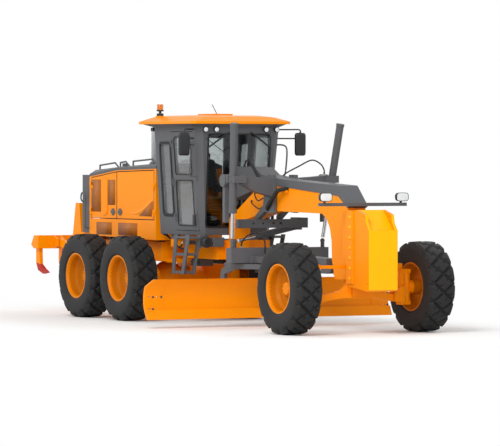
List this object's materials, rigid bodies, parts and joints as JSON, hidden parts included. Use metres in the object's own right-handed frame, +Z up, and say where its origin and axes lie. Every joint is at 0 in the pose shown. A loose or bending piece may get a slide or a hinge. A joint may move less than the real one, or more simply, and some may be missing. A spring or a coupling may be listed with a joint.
{
  "type": "motor grader",
  "caption": "Articulated grader with a cab, tandem rear wheels, leaning steered front wheels, a turning and tipping middle blade, a rear ripper and a front push block.",
  "frame": {"origin": "on the ground under the middle of the overall box", "axes": "+X forward, +Y to the machine's left, +Z up"},
  "size_m": [10.11, 4.27, 3.43],
  "materials": {
    "body_paint": "semi-gloss orange enamel",
    "dark_paint": "satin dark grey enamel",
    "block_paint": "semi-gloss amber-yellow enamel",
    "tyre": "matt tyre rubber",
    "rod_chrome": "ground and chromed rod",
    "glass": "lightly tinted safety glass",
    "plastic": "grained black plastic",
    "stack_steel": "light grey heat-proof paint",
    "beacon_lens": "orange moulded lens",
    "steel": "dark cast iron"
  },
  "bodies": {
    "chassis": {"rear_frame": "body_paint", "rear_axle": "body_paint", "engine_block": "steel", "hood_shell": "body_paint", "hood_top": "dark_paint", "radiator_housing": "dark_paint", "exhaust_stack": "stack_steel"},
    "front": {"front_frame": "body_paint", "neck_cover": "dark_paint", "cab_shell": "body_paint", "cab_glass": "glass", "cab_roof": "body_paint", "cab_interior": "plastic", "ladders": "dark_paint", "mirrors": "plastic", "lamps": "plastic", "beacon": "beacon_lens", "saddle": "dark_paint", "push_block": "block_paint", "front_axle": "body_paint"},
    "ripper_links": {"ripper_arms": "body_paint"},
    "ripper": {"ripper_beam": "body_paint"},
    "ripper_barrel": {"ripper_cylinder": "dark_paint"},
    "ripper_piston": {"ripper_rod": "rod_chrome"},
    "bar_lean": {"lean_bar": "dark_paint"},
    "shift_barrel": {"shift_cylinder": "dark_paint"},
    "shift_piston": {"shift_rod": "rod_chrome"},
    "ball": {"drawbar_ball": "dark_paint"},
    "bar_draw": {"drawbar": "dark_paint"},
    "turntable": {"circle": "dark_paint"},
    "carrier": {"blade_carrier": "dark_paint"},
    "blade": {"moldboard": "body_paint"},
    "wheel_rear_right": {"rim_rear_right": "body_paint", "tyre_rear_right": "tyre"},
    "wheel_rear_left": {"rim_rear_left": "body_paint", "tyre_rear_left": "tyre"},
    "wheel_middle_right": {"rim_middle_right": "body_paint", "tyre_middle_right": "tyre"},
    "wheel_middle_left": {"rim_middle_left": "body_paint", "tyre_middle_left": "tyre"},
    "wheel_front_right": {"rim_front_right": "body_paint", "tyre_front_right": "tyre"},
    "wheel_front_left": {"rim_front_left": "body_paint", "tyre_front_left": "tyre"},
    "panel_rear_right": {"hood_door_rear_right": "body_paint"},
    "panel_rear_left": {"hood_door_rear_left": "body_paint"},
    "panel_front_right": {"hood_door_front_right": "body_paint"},
    "panel_front_left": {"hood_door_front_left": "body_paint"},
    "door_right": {"cab_door_right": "body_paint", "door_glass_right": "glass"},
    "door_left": {"cab_door_left": "body_paint", "door_glass_left": "glass"},
    "yoke_right": {"lean_yoke_right": "body_paint"},
    "hub_right": {"knuckle_right": "body_paint"},
    "yoke_left": {"lean_yoke_left": "body_paint"},
    "hub_left": {"knuckle_left": "body_paint"},
    "lift_barrel_right": {"lift_cylinder_right": "dark_paint"},
    "lift_piston_right": {"lift_rod_right": "rod_chrome"},
    "lift_barrel_left": {"lift_cylinder_left": "dark_paint"},
    "lift_piston_left": {"lift_rod_left": "rod_chrome"}
  },
  "joints": [
    {"name": "rear_right_roll", "type": "hinge", "parent": "chassis", "child": "wheel_rear_right", "pos_m": [-2.6185, -1.082, 0.675], "axis": [0, 1, 0], "continuous": true},
    {"name": "rear_left_roll", "type": "hinge", "parent": "chassis", "child": "wheel_rear_left", "pos_m": [-2.6185, 1.082, 0.675], "axis": [0, 1, 0], "continuous": true},
    {"name": "middle_right_roll", "type": "hinge", "parent": "chassis", "child": "wheel_middle_right", "pos_m": [-1.0915, -1.082, 0.675], "axis": [0, 1, 0], "continuous": true},
    {"name": "middle_left_roll", "type": "hinge", "parent": "chassis", "child": "wheel_middle_left", "pos_m": [-1.0915, 1.082, 0.675], "axis": [0, 1, 0], "continuous": true},
    {"name": "front_right_roll", "type": "hinge", "parent": "hub_right", "child": "wheel_front_right", "pos_m": [4.265, -1.126, 0.675], "axis": [0, 1, 0], "continuous": true},
    {"name": "front_left_roll", "type": "hinge", "parent": "hub_left", "child": "wheel_front_left", "pos_m": [4.265, 1.126, 0.675], "axis": [0, 1, 0], "continuous": true},
    {"name": "hood_rear_right_open", "type": "hinge", "parent": "chassis", "child": "panel_rear_right", "pos_m": [-3.424, -0.6133, 1.9], "axis": [0, 0, 1], "range_deg": [-90, 0]},
    {"name": "hood_rear_left_open", "type": "hinge", "parent": "chassis", "child": "panel_rear_left", "pos_m": [-3.424, 0.6133, 1.9], "axis": [0, 0, 1], "range_deg": [0, 90]},
    {"name": "hood_front_right_open", "type": "hinge", "parent": "chassis", "child": "panel_front_right", "pos_m": [-1.151, -0.6133, 1.9], "axis": [0, 0, 1], "range_deg": [0, 75]},
    {"name": "hood_front_left_open", "type": "hinge", "parent": "chassis", "child": "panel_front_left", "pos_m": [-1.151, 0.6133, 1.9], "axis": [0, 0, 1], "range_deg": [-75, 0]},
    {"name": "ripper_lift", "type": "hinge", "parent": "chassis", "child": "ripper_links", "pos_m": [-4.035, 0, 1.04], "axis": [0, 1, 0], "range_deg": [-70, 0]},
    {"name": "ripper_level", "type": "hinge", "parent": "ripper_links", "child": "ripper", "pos_m": [-4.705, 0, 1.165], "axis": [0, 1, 0], "range_deg": [0, 70]},
    {"name": "ripper_cylinder_swing", "type": "hinge", "parent": "chassis", "child": "ripper_barrel", "pos_m": [-4.09, 0, 1.6], "axis": [0, 1, 0], "range_deg": [-31.5, 0]},
    {"name": "ripper_cylinder_stroke", "type": "slide", "parent": "ripper_barrel", "child": "ripper_piston", "axis": [-0.6707, 0, -0.7417], "range_m": [0, 0.37]},
    {"name": "articulation", "type": "hinge", "parent": "chassis", "child": "front", "pos_m": [-0.805, 0, 1.085], "axis": [0, 0, 1], "range_deg": [-20, 20]},
    {"name": "cab_door_right_open", "type": "hinge", "parent": "front", "child": "door_right", "pos_m": [-0.289, -0.68546, 1.9991], "axis": [0, -0.0679, 0.9977], "range_deg": [-95, 0]},
    {"name": "cab_door_left_open", "type": "hinge", "parent": "front", "child": "door_left", "pos_m": [-0.289, 0.68546, 1.9991], "axis": [0, 0.0679, 0.9977], "range_deg": [0, 95]},
    {"name": "lean_right", "type": "hinge", "parent": "front", "child": "yoke_right", "pos_m": [4.265, -0.66, 0.52], "axis": [1, 0, 0], "range_deg": [-18, 18]},
    {"name": "steer_right", "type": "hinge", "parent": "yoke_right", "child": "hub_right", "pos_m": [4.265, -0.85, 0.675], "axis": [0, 0, 1], "range_deg": [-42, 42]},
    {"name": "lean_left", "type": "hinge", "parent": "front", "child": "yoke_left", "pos_m": [4.265, 0.66, 0.52], "axis": [1, 0, 0], "range_deg": [-18, 18]},
    {"name": "steer_left", "type": "hinge", "parent": "yoke_left", "child": "hub_left", "pos_m": [4.265, 0.85, 0.675], "axis": [0, 0, 1], "range_deg": [-42, 42]},
    {"name": "lean_bar_level", "type": "hinge", "parent": "yoke_right", "child": "bar_lean", "pos_m": [4.316, -0.66, 0.985], "axis": [1, 0, 0], "range_deg": [-18, 18]},
    {"name": "drawbar_swing", "type": "hinge", "parent": "front", "child": "ball", "pos_m": [3.665, 0, 0.93], "axis": [0, 0, 1], "range_deg": [-7.5, 7.5]},
    {"name": "drawbar_lift", "type": "hinge", "parent": "ball", "child": "bar_draw", "pos_m": [3.665, 0, 0.93], "axis": [0, 1, 0], "range_deg": [-20, 9.5]},
    {"name": "circle_turn", "type": "hinge", "parent": "bar_draw", "child": "turntable", "pos_m": [1.585, 0, 0.93], "axis": [0, 0, 1], "continuous": true},
    {"name": "blade_tip", "type": "hinge", "parent": "turntable", "child": "carrier", "pos_m": [1.385, 0, 0.33], "axis": [0, 1, 0], "range_deg": [-5, 40]},
    {"name": "blade_side_shift", "type": "slide", "parent": "carrier", "child": "blade", "axis": [0, -1, 0], "range_m": [-0.55, 0.55]},
    {"name": "lift_right_sway", "type": "hinge", "parent": "front", "child": "lift_barrel_right", "pos_m": [2.013, -0.861, 2.26], "axis": [1, 0, 0], "range_deg": [-13, 13]},
    {"name": "lift_right_stroke", "type": "slide", "parent": "lift_barrel_right", "child": "lift_piston_right", "axis": [-0.1705, 0.0749, -0.9825], "range_m": [-0.304, 0.638]},
    {"name": "lift_left_sway", "type": "hinge", "parent": "front", "child": "lift_barrel_left", "pos_m": [2.013, 0.861, 2.26], "axis": [1, 0, 0], "range_deg": [-13, 13]},
    {"name": "lift_left_stroke", "type": "slide", "parent": "lift_barrel_left", "child": "lift_piston_left", "axis": [-0.1705, -0.0749, -0.9825], "range_m": [-0.304, 0.638]},
    {"name": "shift_sway", "type": "hinge", "parent": "front", "child": "shift_barrel", "pos_m": [1.355, 0.6, 1.525], "axis": [1, 0, 0], "range_deg": [-20, 41]},
    {"name": "shift_stroke", "type": "slide", "parent": "shift_barrel", "child": "shift_piston", "axis": [0.0267, -0.9794, -0.2003], "range_m": [-0.295, 0.295]}
  ],
  "couplings": [
    {"joint": "ripper_level", "follows": "ripper_lift", "ratio": -1},
    {"joint": "ripper_cylinder_swing", "follows": "ripper_lift", "ratio": 0.44},
    {"joint": "ripper_cylinder_stroke", "follows": "ripper_lift", "m_per_rad": -0.2992},
    {"joint": "lean_left", "follows": "lean_right", "ratio": 1},
    {"joint": "steer_left", "follows": "steer_right", "ratio": 1},
    {"joint": "lean_bar_level", "follows": "lean_right", "ratio": -1},
    {"joint": "lift_right_sway", "follows": "drawbar_swing", "ratio": -1.65},
    {"joint": "lift_right_stroke", "follows": "drawbar_lift", "m_per_rad": -1.825},
    {"joint": "lift_left_sway", "follows": "drawbar_swing", "ratio": -1.65},
    {"joint": "lift_left_stroke", "follows": "drawbar_lift", "m_per_rad": -1.825},
    {"joint": "shift_sway", "follows": "drawbar_lift", "ratio": -2.01},
    {"joint": "shift_stroke", "follows": "drawbar_swing", "m_per_rad": 2.24}
  ]
}
